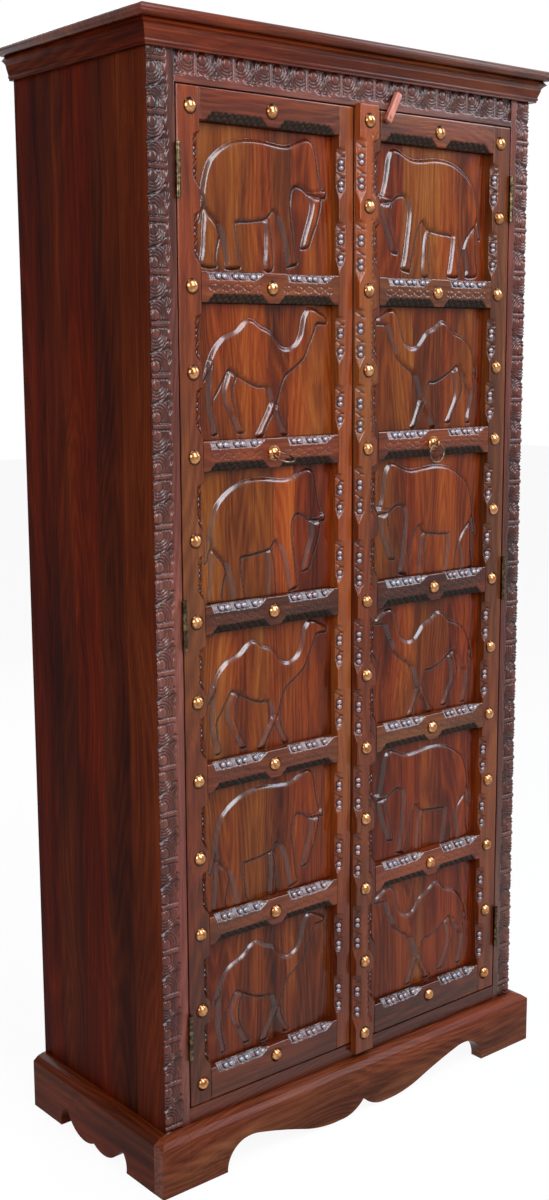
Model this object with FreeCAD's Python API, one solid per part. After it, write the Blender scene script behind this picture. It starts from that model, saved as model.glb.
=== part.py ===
import FreeCAD
import Part
import math
import os
from FreeCAD import Vector

os.makedirs("parts", exist_ok=True)

# Millimetres. +Z is up, the front looks towards -Y, the origin is the bottom centre of the overall box.

# Overall sizes
total_height = 1800.0
carcass_width = 814.0
carcass_depth = 370.0
overrun = 5.0              # how far a cutting shape runs past what it cuts

# Boards of the carcass
side_thickness = 20.0
back_thickness = 9.0
back_board_count = 5
back_board_bevel = 2.0
floor_thickness = 18.0
shelf_thickness = 18.0
shelf_setback = 18.0       # shelf edge behind the back of the face frame
hat_shelf_height = 1420.0
shoe_shelf_height = 430.0
cleat_size = 18.0

# Face frame
frame_thickness = 30.0
frame_stile_width = 47.0
frame_top_drop = 44.0      # carved top rail below the cornice
frame_sill_rise = 27.0     # plain bottom rail above the plinth

# Cornice
top_board_thickness = 17.0
top_overhang = 27.0
top_nose_radius = 7.0
cornice_height = 35.0
# Moulding profile, as shares of the overhang and of the moulding height
cornice_fillet_share = 0.30
cornice_bead_share = 0.37
cornice_neck_share = 0.34
cornice_band_share = 0.49
cornice_nose_share = 0.78
cornice_cap_share = 0.58
cornice_profile_shares = [0.08, 0.15, 0.23, 0.56, 0.62, 0.82]

# Plinth
plinth_height = 94.0
plinth_face_height = 84.0
plinth_shoulder_height = 91.0
plinth_overhang = 25.0
plinth_shoulder_overhang = 16.0
plinth_ledge = 6.0
corner_block_width = 56.0
carcass_base = 62.0        # underside of the boards that stand on the foot blocks
foot_block_size = 40.0
back_plinth_thickness = 20.0
arch_half_width = 303.0
arch_height = 48.5
# Half of the front arch from foot to centre, as shares: arc middle and arc end in turn
arch_shares = [
    ((0.974, 0.58), (0.891, 0.96)),
    ((0.842, 1.00), (0.785, 0.96)),
    ((0.627, 0.69), (0.462, 0.35)),
    ((0.297, 0.10), (0.182, 0.07)),
    ((0.066, 0.21), (0.000, 0.52)),
]
side_foot_length = 105.0   # front foot of a side board, seen from the side
rear_foot_length = 90.0
side_lobe_height = 34.0
# Lobes of a side board between its feet, as shares of the span and of the lobe height
side_lobe_shares = [
    ((0.010, 0.65), (0.045, 0.97)),
    ((0.065, 1.03), (0.090, 1.00)),
    ((0.335, 0.05), (0.485, 0.28)),
    ((0.640, 0.05), (0.885, 1.00)),
    ((0.920, 1.03), (0.955, 0.97)),
    ((0.990, 0.65), (1.000, 0.00)),
]

# Doors
door_thickness = 30.0
door_proud = 0.5           # door face in front of the face frame
door_side_gap = 2.5
door_end_gap = 2.0
meeting_gap = 3.0
meeting_x = -10.5          # middle of the gap between the doors
row_count = 6
rail_height = 46.0
top_rail_height = 46.0
bottom_rail_height = 53.0
top_panel_height = 215.0
bottom_panel_height = 211.0
hinge_stile_width = 41.5
left_meeting_width = 30.0
right_meeting_width = 57.0
tenon_length = 12.0
tenon_thickness = 8.0
tenon_depth = 10.0         # tenon's front behind the door face
tenon_shoulder = 9.5

# Panels
panel_recess = 18.0        # carved ground behind the door face
panel_thickness = 10.0
panel_gap = 0.3
tongue_recess = 2.0        # tongue's front behind the ground
tongue_thickness = 6.5
tongue_reach = 7.0
groove_clearance = 0.15
groove_spare = 1.0

# Stopped chamfers
chamfer_width = 13.0
chamfer_depth = 8.0
chamfer_ends = [5.0, 20.0]     # short slope at the start, long pointed tip at the end
under_ends = [13.0, 13.0]
# Where the two chamfers of one edge stop: beyond the first corner, before the stud,
# beyond the stud and before the second corner
stile_stops = [16.0, 8.0, 22.0, 5.0]
left_rail_stops = [11.0, 14.0, 28.0, 8.0]
right_rail_stops = [18.0, 14.0, 28.0, 6.0]
under_stops = [10.0, 7.0, 12.0, 8.0]

# Cover moulding on the right door
astragal_width = 41.0
astragal_thickness = 13.0
astragal_above = 5.0
astragal_below = 18.0
astragal_depth = 10.0          # of its chamfers
# Chamfer stops below a rail's stud and above the middle stud, then below that and above the next
astragal_stops = [26.0, 3.0, 20.0, 10.0]
astragal_top_stud = 20.0       # below the door's top edge
astragal_bottom_stud = 17.0    # above the door's bottom edge
astragal_stud_drops = [0.0, 2.0, 4.0, 5.0, 4.0]  # below the middles of the rails between

# Brass studs
stud_radius = 12.0
stud_rim = 1.4
stud_dome_radius = 10.2
stud_height = 8.0
stud_inset = 24.5          # from the door's hinge edge
edge_top_stud = 28.5       # below the door's top edge
bottom_stud = 33.0         # above the door's bottom edge
right_stud_shift = 2.0     # the right door's studs beside the middle of its opening
left_bare_count = 0        # rows above the missing side stud of the left door
astragal_bare_count = 2    # rows above the missing stud of the cover moulding
ring_rail_count = 2        # rails above the one that carries the ring pulls

# Ring pulls
ring_radius = 16.5
ring_wire = 1.6
eye_stand = 10.5
eye_outer = 4.6
eye_thickness = 3.0
eye_clearance = 0.5
right_ring_shift = -6.0    # the right ring's eye is nailed beside the middle
left_ring_lift = 68.0      # degrees up from hanging, as stored

# Butt hinges
hinge_end_inset = 120.0    # middle of the end hinges from the door's ends
hinge_length = 78.0
knuckle_count = 5
knuckle_radius = 3.8
knuckle_gap = 0.3
pin_radius = 1.6
pin_clearance = 0.06
pin_proud = 4.2            # pin axis in front of the door face
pin_tip = 1.0
leaf_thickness = 1.0
leaf_width = 24.0
leaf_clearance = 0.4

# Turn button, spindle and tongue
button_length = 52.0
button_width = 12.0
button_thickness = 8.5
button_round = 2.5
button_lift = 1.5
button_pivot_inset = 8.0
button_lean = 28.0         # degrees from upright, as stored
button_x = 61.0
button_drop = 10.0         # pivot below the door's top edge
spindle_radius = 3.0
spindle_clearance = 0.05
washer_clearance = 0.1
tongue_length = 32.0
tongue_half_width = 5.0
tongue_plate = 4.0
tongue_gap = 0.8
washer_radius = 5.5
button_screw_radius = 2.8
button_screw_height = 0.8

# Tower bolt inside the left door
bolt_radius = 3.5
bolt_clearance = 0.08
bolt_plate_width = 20.0
bolt_plate_height = 92.0
bolt_plate_thickness = 1.6
bolt_guide_width = 13.0
bolt_guide_height = 8.0
bolt_guide_inset = 8.0
bolt_stand = 5.0           # bolt axis off the plate
bolt_top_inset = 2.0
bolt_length = 110.0
bolt_plate_inset = 6.0
bolt_knob_radius = 2.5
bolt_knob_length = 10.0
bolt_knob_share = 0.45
keeper_height = 6.0
keeper_width = 22.0
keeper_rise = 4.0
keeper_wall = 3.5
keeper_clearance = 0.4

# Door stops
stop_depth = 12.0
stop_overlap = 12.0
stop_side_gap = 8.0
bottom_stop_height = 12.0
left_stop_end = -55.0
right_stop_start = 92.0

# Hanging rail under the hat shelf
rail_rod_radius = 12.5
rail_drop = 45.0
rail_end_gap = 30.0
rail_bracket_width = 34.0
rail_bracket_thickness = 12.0
rail_bracket_wall = 6.0


def box(x0, x1, y0, y1, z0, z1):
    return Part.makeBox(x1 - x0, y1 - y0, z1 - z0, Vector(x0, y0, z0))


def prism(points, rise):
    """A straight solid over a flat polygon, along the vector rise."""
    return Part.Face(Part.makePolygon(points + [points[0]])).extrude(rise)


def solid_of(point_lists):
    """A solid from its flat faces, each given by its corners."""
    faces = [Part.Face(Part.makePolygon(points + [points[0]])) for points in point_lists]
    solid = Part.makeSolid(Part.makeShell(faces))
    if solid.Volume < 0:
        solid.reverse()
    return solid


def save(node, shapes):
    shape = shapes[0] if len(shapes) == 1 else Part.makeCompound(shapes)
    shape.exportStep("parts/" + node + ".step")
    print(node, len(shape.Solids), "solids", round(shape.Volume), "mm3")


def tapered_cut(arris, along, wide, deep, ends):
    """Wedge for one stopped chamfer, pointed over the two lengths in ends."""
    run = Vector(along).normalize()
    tip = arris + along
    start = arris + run * ends[0]
    end = tip - run * ends[1]
    return solid_of([
        [arris, start + wide, start + deep],
        [start + wide, end + wide, end + deep, start + deep],
        [arris, start + wide, end + wide, tip],
        [arris, start + deep, end + deep, tip],
        [end + wide, end + deep, tip],
    ])


# The ring pull stored lifted reaches furthest forward, so it settles where the face frame stands.
ring_reach = door_proud + eye_stand + ring_wire
ring_reach += 2 * ring_radius * math.sin(math.radians(left_ring_lift))
front_reach = max(ring_reach, top_overhang, plinth_overhang)
face_y = -(carcass_depth + front_reach) / 2 + front_reach
back_y = face_y + carcass_depth
frame_back_y = face_y + frame_thickness
half_width = carcass_width / 2
cornice_top = total_height - top_board_thickness
cornice_base = cornice_top - cornice_height
opening_top = cornice_base - frame_top_drop
opening_bottom = plinth_height + frame_sill_rise
opening_half = half_width - frame_stile_width
inside_half = half_width - side_thickness
inside_back_y = back_y - back_thickness
door_top = opening_top - door_end_gap
door_bottom = opening_bottom + door_end_gap
door_edge = opening_half - door_side_gap
door_face_y = face_y - door_proud
door_back_y = door_face_y + door_thickness
panel_height = (door_top - door_bottom - top_rail_height - bottom_rail_height
                - top_panel_height - bottom_panel_height
                - (row_count - 1) * rail_height) / (row_count - 2)
hinge_heights = [door_top - hinge_end_inset, (door_top + door_bottom) / 2,
                 door_bottom + hinge_end_inset]
row_heights = [top_panel_height] + [panel_height] * (row_count - 2) + [bottom_panel_height]


def carcass():
    sides = {"side_panel_left": -half_width, "side_panel_right": inside_half}
    for node, x in sides.items():
        save(node, [box(x, x + side_thickness, frame_back_y, back_y, carcass_base, cornice_top)])

    board = 2 * inside_half / back_board_count
    boards = []
    for number in range(back_board_count):
        x = -inside_half + number * board
        plank = box(x, x + board, inside_back_y, back_y, carcass_base, cornice_top)
        edges = [edge for edge in plank.Edges
                 if edge.Length > board * 2 and edge.CenterOfMass.y > back_y - back_board_bevel]
        boards.append(plank.makeChamfer(back_board_bevel, edges))
    save("back_boards", boards)

    save("bottom_board", [box(-inside_half, inside_half, frame_back_y, inside_back_y,
                              opening_bottom - floor_thickness, opening_bottom)])
    shelf_front = frame_back_y + shelf_setback
    cleats = []
    for node, height in (("hat_shelf", hat_shelf_height), ("shoe_shelf", shoe_shelf_height)):
        save(node, [box(-inside_half, inside_half, shelf_front, inside_back_y,
                        height, height + shelf_thickness)])
        for x in (-inside_half, inside_half - cleat_size):
            cleats.append(box(x, x + cleat_size, shelf_front, inside_back_y,
                              height - cleat_size, height))
    save("shelf_cleats", cleats)

    axis_z = hat_shelf_height - rail_drop
    rail_front = shelf_front + rail_end_gap
    rail_back = inside_back_y - rail_end_gap
    rod = Part.makeCylinder(rail_rod_radius, rail_back - rail_front,
                             Vector(0, rail_front, axis_z), Vector(0, 1, 0))
    save("hanging_rail", [rod])
    brackets = []
    for y in (rail_front, rail_back - rail_bracket_thickness):
        low = axis_z - rail_rod_radius - rail_bracket_wall
        block = box(-rail_bracket_width / 2, rail_bracket_width / 2,
                    y, y + rail_bracket_thickness, low, hat_shelf_height)
        brackets.append(block.cut(rod))
    save("rail_brackets", brackets)


def face_frame():
    for node, x in (("face_stile_left", -half_width), ("face_stile_right", opening_half)):
        save(node, [box(x, x + frame_stile_width, face_y, frame_back_y, carcass_base, cornice_top)])
    save("face_rail_top", [box(-opening_half, opening_half, face_y, frame_back_y,
                               opening_top, cornice_top)])
    save("face_rail_bottom", [box(-opening_half, opening_half, face_y, frame_back_y,
                                  carcass_base, opening_bottom)])


def cornice():
    x = half_width + top_overhang
    board = box(-x, x, face_y - top_overhang, back_y, cornice_top, total_height)
    edges = [edge for edge in board.Edges
             if edge.CenterOfMass.y < back_y - top_overhang
             and abs(edge.CenterOfMass.z - (cornice_top + total_height) / 2) > top_board_thickness / 4]
    save("top_board", [board.makeFillet(top_nose_radius, edges)])

    def at(overhang_share, height_share):
        return Vector(0, face_y - top_overhang * overhang_share,
                      cornice_base + cornice_height * height_share)

    fillet, bead, neck, band, cove, nose = cornice_profile_shares
    corners = [
        Vector(0, face_y, cornice_base),
        at(cornice_fillet_share, 0),
        at(cornice_fillet_share, fillet),
        at(cornice_neck_share, neck),
        at(cornice_band_share, cove),
        at(cornice_nose_share, nose),
        at(cornice_cap_share, 1),
        Vector(0, face_y, cornice_top),
    ]
    edges = [
        Part.LineSegment(corners[0], corners[1]),
        Part.LineSegment(corners[1], corners[2]),
        Part.Arc(corners[2], at(cornice_bead_share, bead), corners[3]),
        Part.LineSegment(corners[3], at(cornice_band_share, band)),
        Part.LineSegment(at(cornice_band_share, band), corners[4]),
        Part.Arc(corners[4], at(cornice_cap_share, (cove + nose) / 2), corners[5]),
        Part.LineSegment(corners[5], corners[6]),
        Part.LineSegment(corners[6], corners[7]),
        Part.LineSegment(corners[7], corners[0]),
    ]
    profile = Part.Face(Part.Wire([edge.toShape() for edge in edges]))
    length = 2 * x
    front = profile.copy()
    front.translate(Vector(-x, 0, 0))
    front = front.extrude(Vector(length, 0, 0))
    rise = Vector(0, 0, total_height)
    plan = prism([Vector(-half_width, face_y, 0), Vector(half_width, face_y, 0),
                  Vector(x, face_y - top_overhang, 0), Vector(-x, face_y - top_overhang, 0)], rise)
    save("cornice_front", [front.common(plan)])
    for node, side in (("cornice_left", -1), ("cornice_right", 1)):
        strip = profile.copy()
        strip.rotate(Vector(0, face_y, 0), Vector(0, 0, 1), 90 * side)
        strip.translate(Vector(side * half_width, -top_overhang, 0))
        strip = strip.extrude(Vector(0, carcass_depth + top_overhang, 0))
        plan = prism([Vector(side * half_width, face_y, 0), Vector(side * half_width, back_y, 0),
                      Vector(side * x, back_y, 0), Vector(side * x, face_y - top_overhang, 0)], rise)
        save(node, [strip.common(plan)])


def plinth_ring():
    """The moulded plinth round the front and both sides, before it is cut into its boards."""
    def outline(overhang, height):
        x = half_width + overhang
        corners = [Vector(-x, face_y - overhang, height), Vector(x, face_y - overhang, height),
                   Vector(x, back_y, height), Vector(-x, back_y, height)]
        return Part.makePolygon(corners + [corners[0]])

    steps = [(plinth_overhang, 0), (plinth_overhang, plinth_face_height),
             (plinth_shoulder_overhang, plinth_shoulder_height), (plinth_ledge, plinth_height)]
    layers = [Part.makeLoft([outline(*low), outline(*high)], True, True)
              for low, high in zip(steps, steps[1:])]
    ring = layers[0].multiFuse(layers[1:]).removeSplitter()
    return ring.cut(box(-half_width, half_width, face_y, back_y + overrun,
                        -overrun, plinth_height + overrun))


def arc_edges(start, pairs, place):
    """Arcs from a start point through each pair of shares, placed by a function."""
    edges = []
    for middle, end in pairs:
        end_point = place(*end)
        edges.append(Part.Arc(start, place(*middle), end_point).toShape())
        start = end_point
    return edges, start


def front_arch():
    y = face_y - plinth_overhang - overrun

    def left(across, up):
        return Vector(-arch_half_width * across, y, arch_height * up)

    edges, middle = arc_edges(left(1, 0), arch_shares, left)
    mirrored = [edge.mirror(Vector(0, 0, 0), Vector(1, 0, 0)) for edge in edges]
    low = [Vector(arch_half_width, y, 0), Vector(arch_half_width, y, -overrun),
           Vector(-arch_half_width, y, -overrun), Vector(-arch_half_width, y, 0)]
    edges += mirrored[::-1] + Part.makePolygon(low).Edges
    return Part.Face(Part.Wire(edges)).extrude(Vector(0, plinth_overhang + 2 * overrun, 0))


def side_lobes():
    """Space between the feet of one side board, with the two lobes standing in it."""
    start_y = face_y - plinth_overhang + side_foot_length
    span = back_y - rear_foot_length - start_y
    x = -half_width - plinth_overhang - overrun

    def place(along, up):
        return Vector(x, start_y + span * along, side_lobe_height * up)

    edges, end = arc_edges(place(0, 0), side_lobe_shares, place)
    low = [end, place(1, 0) - Vector(0, 0, overrun), place(0, 0) - Vector(0, 0, overrun), place(0, 0)]
    edges += Part.makePolygon(low).Edges
    return Part.Face(Part.Wire(edges)).extrude(Vector(plinth_overhang + 2 * overrun, 0, 0))


def plinth():
    ring = plinth_ring()
    outer = half_width + plinth_overhang
    front_y = face_y - plinth_overhang
    block_inner = outer - corner_block_width
    top = plinth_height + overrun
    front = ring.common(box(-block_inner, block_inner, front_y, face_y, 0, top))
    save("plinth_front", [front.cut(front_arch())])
    corners = [ring.common(box(-outer, -block_inner, front_y, face_y, 0, top)),
               ring.common(box(block_inner, outer, front_y, face_y, 0, top))]
    save("plinth_corner_blocks", corners)
    left = ring.common(box(-outer, -half_width, face_y, back_y, 0, top)).cut(side_lobes())
    save("plinth_left", [left])
    save("plinth_right", [left.mirror(Vector(0, 0, 0), Vector(1, 0, 0))])

    back_front_y = back_y - back_plinth_thickness
    board = box(-half_width, half_width, back_front_y, back_y, 0, carcass_base)
    arch = [Vector(-arch_half_width, back_front_y - overrun, 0),
            Vector(0, back_front_y - overrun, arch_height),
            Vector(arch_half_width, back_front_y - overrun, 0)]
    face = Part.Face(Part.Wire([Part.Arc(*arch).toShape(), Part.makeLine(arch[2], arch[0])]))
    space = face.extrude(Vector(0, back_plinth_thickness + 2 * overrun, 0))
    save("plinth_back", [board.cut(space)])

    blocks = []
    for x in (-half_width, half_width - foot_block_size):
        for y in (face_y, back_front_y - foot_block_size):
            blocks.append(box(x, x + foot_block_size, y, y + foot_block_size, 0, carcass_base))
    save("foot_blocks", blocks)


def door_span(side):
    """Left and right edges of a door, hinge edge and panel opening, with side -1 for the left door."""
    if side < 0:
        low = -door_edge
        high = meeting_x - meeting_gap / 2
        return low, high, low + hinge_stile_width, high - left_meeting_width
    low = meeting_x + meeting_gap / 2
    return low, door_edge, low + right_meeting_width, door_edge - hinge_stile_width


def middle_stud_x(side):
    low_x, high_x, open_left, open_right = door_span(side)
    return (open_left + open_right) / 2 + (right_stud_shift if side > 0 else 0)


def rail_span(number):
    """Bottom and top of one rail, counted from the top of the door."""
    if number == 0:
        return door_top - top_rail_height, door_top
    top = door_top - top_rail_height - sum(row_heights[:number]) - (number - 1) * rail_height
    return (door_bottom if number == row_count else top - rail_height), top


def row_span(row):
    return rail_span(row + 1)[1], rail_span(row)[0]


def edge_cuts(first, stud_point, last, stops, across, depth, ends):
    """The two stopped chamfers along an edge between two corners, parted by a stud."""
    run = (last - first).normalize()
    after_first, before_stud, after_stud, before_last = stops
    spans = ((first + run * after_first, stud_point - run * before_stud),
             (stud_point + run * after_stud, last - run * before_last))
    return [tapered_cut(start, end - start, across * chamfer_width, Vector(0, depth, 0), ends)
            for start, end in spans]


def stile_cuts(x, side):
    cuts = []
    for row in range(row_count):
        low, high = row_span(row)
        points = [Vector(x, door_face_y, z) for z in (high, (low + high) / 2, low)]
        cuts += edge_cuts(*points, stile_stops, Vector(side, 0, 0), chamfer_depth, chamfer_ends)
    return cuts


def rail_cuts(z, up, side):
    low_x, high_x, open_left, open_right = door_span(side)
    points = [Vector(x, door_face_y, z) for x in (open_left, middle_stud_x(side), open_right)]
    if up < 0:
        stops = left_rail_stops if side < 0 else right_rail_stops
        return edge_cuts(*points, stops, Vector(0, 0, -1), chamfer_depth, chamfer_ends)
    return edge_cuts(*points, under_stops, Vector(0, 0, 1), chamfer_depth, under_ends)


def tongue_box(left, right, low, high, reach, spare):
    y = door_face_y + panel_recess + tongue_recess
    return box(left - reach, right + reach, y - spare, y + tongue_thickness + spare,
               low - reach, high + reach)


def door(side, name, hinge_node, meeting_node):
    low_x, high_x, open_left, open_right = door_span(side)
    grooves = []
    panels = []
    ground_y = door_face_y + panel_recess
    for row in range(row_count):
        low, high = row_span(row)
        grooves.append(tongue_box(open_left, open_right, low, high,
                                  tongue_reach + groove_spare, groove_clearance))
        plate = box(open_left + panel_gap, open_right - panel_gap, ground_y,
                    ground_y + panel_thickness, low + panel_gap, high - panel_gap)
        panels.append(plate.fuse(tongue_box(open_left, open_right, low, high, tongue_reach, 0)))
    save(name + "_elephant_panels", panels[0::2])
    save(name + "_camel_panels", panels[1::2])

    rails = []
    tenons = []
    tenon_y = door_face_y + tenon_depth
    for number in range(row_count + 1):
        bottom, top = rail_span(number)
        rail = box(open_left, open_right, door_face_y, door_back_y, bottom, top)
        tenon = box(open_left - tenon_length, open_right + tenon_length, tenon_y,
                    tenon_y + tenon_thickness, bottom + tenon_shoulder, top - tenon_shoulder)
        tenons.append(tenon)
        cuts = []
        if number > 0:
            cuts += rail_cuts(top, -1, side)
        if number < row_count:
            cuts += rail_cuts(bottom, 1, side)
        rails.append(rail.fuse(tenon).cut(cuts + grooves))
    if side > 0:
        rails[0] = rails[0].cut(spindle(spindle_radius + spindle_clearance))
    save(name + "_rails", rails)

    stiles = {"left": box(low_x, open_left, door_face_y, door_back_y, door_bottom, door_top),
              "right": box(open_right, high_x, door_face_y, door_back_y, door_bottom, door_top)}
    stile_chamfers = {"left": stile_cuts(open_left, -1), "right": stile_cuts(open_right, 1)}
    hinge_side = "left" if side < 0 else "right"
    for where, stile in stiles.items():
        node = hinge_node if where == hinge_side else meeting_node
        save(node, [stile.cut(grooves + tenons + stile_chamfers[where])])


def stud(x, y, z):
    """One domed stud, its back on the plane y."""
    centre = Vector(x, y, z)
    rim = Part.makeCylinder(stud_radius, stud_rim, centre, Vector(0, -1, 0))
    rise = stud_height - stud_rim
    ball_radius = (stud_dome_radius ** 2 + rise ** 2) / (2 * rise)
    ball = Part.makeSphere(ball_radius, centre - Vector(0, stud_height - ball_radius, 0))
    front = Part.makeCylinder(stud_radius, stud_height, centre - Vector(0, stud_rim, 0),
                              Vector(0, -1, 0))
    return rim.fuse(ball.common(front))


def stud_heights():
    """Heights of the studs beside the rails."""
    middles = [sum(rail_span(number)) / 2 for number in range(1, row_count)]
    return [door_top - edge_top_stud] + middles + [door_bottom + bottom_stud]


def astragal_stud_heights():
    """Heights of the cover moulding's studs beside the rails, and midway between them."""
    beside = [z - drop for z, drop in zip(stud_heights()[1:], astragal_stud_drops)]
    beside = [door_top - astragal_top_stud] + beside + [door_bottom + astragal_bottom_stud]
    return beside, [(upper + lower) / 2 for upper, lower in zip(beside, beside[1:])]


def studs():
    for side, node in ((-1, "left_door_studs"), (1, "right_door_studs")):
        edge = side * (door_edge - stud_inset)
        pieces = []
        for number, z in enumerate(stud_heights()):
            pieces.append(stud(edge, door_face_y, z))
            if number != ring_rail_count:
                z = sum(rail_span(number)) / 2 if number == 0 else z
                pieces.append(stud(middle_stud_x(side), door_face_y, z))
        for row in range(row_count):
            if side > 0 or row != left_bare_count:
                pieces.append(stud(edge, door_face_y, sum(row_span(row)) / 2))
        save(node, pieces)
    beside, middles = astragal_stud_heights()
    heights = beside + middles[:astragal_bare_count] + middles[astragal_bare_count + 1:]
    save("astragal_studs", [stud(astragal_x, astragal_face_y, z) for z in heights])


def astragal():
    left = astragal_x - astragal_width / 2
    right = astragal_x + astragal_width / 2
    bar = box(left, right, astragal_face_y, door_face_y,
              door_bottom - astragal_below, door_top + astragal_above)
    cuts = []
    beside, middles = astragal_stud_heights()
    for x, side in ((left, 1), (right, -1)):
        for stops in zip(beside, middles, beside[1:]):
            points = [Vector(x, astragal_face_y, z) for z in stops]
            cuts += edge_cuts(*points, astragal_stops, Vector(side, 0, 0), astragal_depth, chamfer_ends)
    save("astragal", [bar.cut(cuts)])


def ring_pull(side, node_eye, node_ring, lift):
    low_x, high_x, open_left, open_right = door_span(side)
    x = (open_left + open_right) / 2 + (right_ring_shift if side > 0 else 0)
    z = sum(rail_span(ring_rail_count)) / 2
    pivot = Vector(x, door_face_y - eye_stand, z)
    eye = Part.makeCylinder(eye_outer, eye_thickness, pivot - Vector(eye_thickness / 2, 0, 0),
                            Vector(1, 0, 0))
    shank = box(x - eye_thickness / 2, x + eye_thickness / 2, pivot.y, door_face_y - stud_rim,
                z - eye_outer / 2, z + eye_outer / 2)
    hole = Part.makeCylinder(ring_wire + eye_clearance, 2 * eye_thickness,
                             pivot - Vector(eye_thickness, 0, 0), Vector(1, 0, 0))
    rosette = stud(x, door_face_y, z).fuse([eye, shank]).cut(hole)
    save(node_eye, [rosette])
    ring = Part.makeTorus(ring_radius, ring_wire, Vector(x, pivot.y, z - ring_radius), Vector(0, 1, 0))
    ring.rotate(pivot, Vector(-1, 0, 0), lift)
    save(node_ring, [ring])
    return pivot


def hinges():
    frame_leaves = []
    pins = []
    bottom_offset = -hinge_length / 2
    knuckle = hinge_length / knuckle_count
    for side, node in ((-1, "left_hinge_leaves"), (1, "right_hinge_leaves")):
        door_leaves = []
        for height in hinge_heights:
            axis = Vector(side * pin_x, pin_y, 0)
            low = height + bottom_offset
            pins.append(Part.makeCylinder(pin_radius, hinge_length + 2 * pin_tip,
                                          axis + Vector(0, 0, low - pin_tip)))
            for on_frame, leaves in ((True, frame_leaves), (False, door_leaves)):
                wall = opening_half if on_frame else door_edge
                inner = wall - leaf_thickness if on_frame else wall + leaf_thickness
                x0, x1 = sorted((side * wall, side * inner))
                plate_y = pin_y + knuckle_radius + leaf_clearance
                leaf = box(x0, x1, plate_y, plate_y + leaf_width, low, low + hinge_length)
                hole_radius = pin_radius if on_frame else pin_radius + pin_clearance
                for number in range(0 if on_frame else 1, knuckle_count, 2):
                    start = low + number * knuckle + knuckle_gap / 2
                    rise = knuckle - knuckle_gap
                    barrel = Part.makeCylinder(knuckle_radius, rise, axis + Vector(0, 0, start))
                    web = box(x0, x1, pin_y, plate_y, start, start + rise)
                    leaf = leaf.fuse([barrel, web])
                hole = Part.makeCylinder(hole_radius, hinge_length + 2 * overrun,
                                         axis + Vector(0, 0, low - overrun))
                leaves.append(leaf.cut(hole))
        save(node, door_leaves)
    save("frame_hinge_leaves", frame_leaves)
    save("hinge_pins", pins)


def spindle(radius):
    start = door_face_y - button_lift
    end = door_back_y + tongue_gap + tongue_plate
    return Part.makeCylinder(radius, end - start, Vector(button_x, start, button_z), Vector(0, 1, 0))


def turn_button():
    pivot = Vector(button_x, 0, button_z)
    back = door_face_y - button_lift
    front = back - button_thickness
    body = box(button_x - button_width / 2, button_x + button_width / 2, front, back,
               button_z - button_pivot_inset, button_z - button_pivot_inset + button_length)
    edges = [edge for edge in body.Edges if edge.CenterOfMass.y < back - button_thickness / 4]
    body = body.makeFillet(button_round, edges)
    washer = Part.makeCylinder(washer_radius, button_lift - washer_clearance,
                               Vector(button_x, back, button_z),
                               Vector(0, 1, 0)).cut(spindle(spindle_radius))
    screw = Part.makeCylinder(button_screw_radius, button_screw_height,
                              Vector(button_x, front - button_screw_height, button_z), Vector(0, 1, 0))
    body.rotate(pivot, Vector(0, 1, 0), button_lean)
    save("turn_button", [body])
    save("button_washer", [washer])
    save("button_screw", [screw])
    save("latch_spindle", [spindle(spindle_radius)])
    plate_y = door_back_y + tongue_gap
    tongue = box(button_x - tongue_length, button_x + 2 * tongue_half_width, plate_y,
                 plate_y + tongue_plate, button_z - tongue_half_width, button_z + tongue_half_width)
    save("latch_tongue", [tongue.cut(spindle(spindle_radius))])


def door_bolt():
    low_x, high_x, open_left, open_right = door_span(-1)
    x = (open_right + high_x) / 2
    plate_y = door_back_y + bolt_plate_thickness
    axis_y = plate_y + bolt_stand
    rod_top = door_top - bolt_top_inset
    plate_top = door_top - bolt_plate_inset
    plate_low = plate_top - bolt_plate_height
    rod = Part.makeCylinder(bolt_radius, bolt_length, Vector(x, axis_y, rod_top - bolt_length))
    knob_z = rod_top - bolt_length * bolt_knob_share
    knob = Part.makeCylinder(bolt_knob_radius, bolt_knob_length, Vector(x, axis_y, knob_z),
                             Vector(0, 1, 0))
    save("door_bolt", [rod.fuse(knob)])
    plate = box(x - bolt_plate_width / 2, x + bolt_plate_width / 2, door_back_y, plate_y,
                plate_low, plate_top)
    guide_depth = bolt_stand + bolt_guide_width / 2
    guides = []
    for z in (plate_low + bolt_guide_inset, plate_top - bolt_guide_inset - bolt_guide_height):
        guides.append(box(x - bolt_guide_width / 2, x + bolt_guide_width / 2, plate_y,
                          plate_y + guide_depth, z, z + bolt_guide_height))
    bore = Part.makeCylinder(bolt_radius + bolt_clearance, bolt_length + 2 * overrun,
                             Vector(x, axis_y, rod_top - bolt_length - overrun))
    save("bolt_plate", [plate.fuse(guides).cut(bore)])
    keeper_low = opening_top + keeper_rise
    keeper = box(x - keeper_width / 2, x + keeper_width / 2, frame_back_y,
                 axis_y + bolt_radius + keeper_clearance + keeper_wall,
                 keeper_low, keeper_low + keeper_height)
    hole = Part.makeCylinder(bolt_radius + keeper_clearance, keeper_height + 2 * overrun,
                             Vector(x, axis_y, keeper_low - overrun))
    save("bolt_keeper", [keeper.cut(hole)])


def door_stops():
    reach = opening_half - stop_side_gap
    back = frame_back_y + stop_depth
    top = opening_top + stop_overlap
    low = opening_top - stop_overlap
    save("door_stops", [
        box(-reach, reach, frame_back_y, back, opening_bottom, opening_bottom + bottom_stop_height),
        box(-reach, left_stop_end, frame_back_y, back, low, top),
        box(right_stop_start, reach, frame_back_y, back, low, top),
    ])


pin_x = opening_half - door_side_gap / 2
pin_y = door_face_y - pin_proud
astragal_x = meeting_x + meeting_gap / 2 + astragal_width / 2
astragal_face_y = door_face_y - astragal_thickness
button_z = door_top - button_drop

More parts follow.
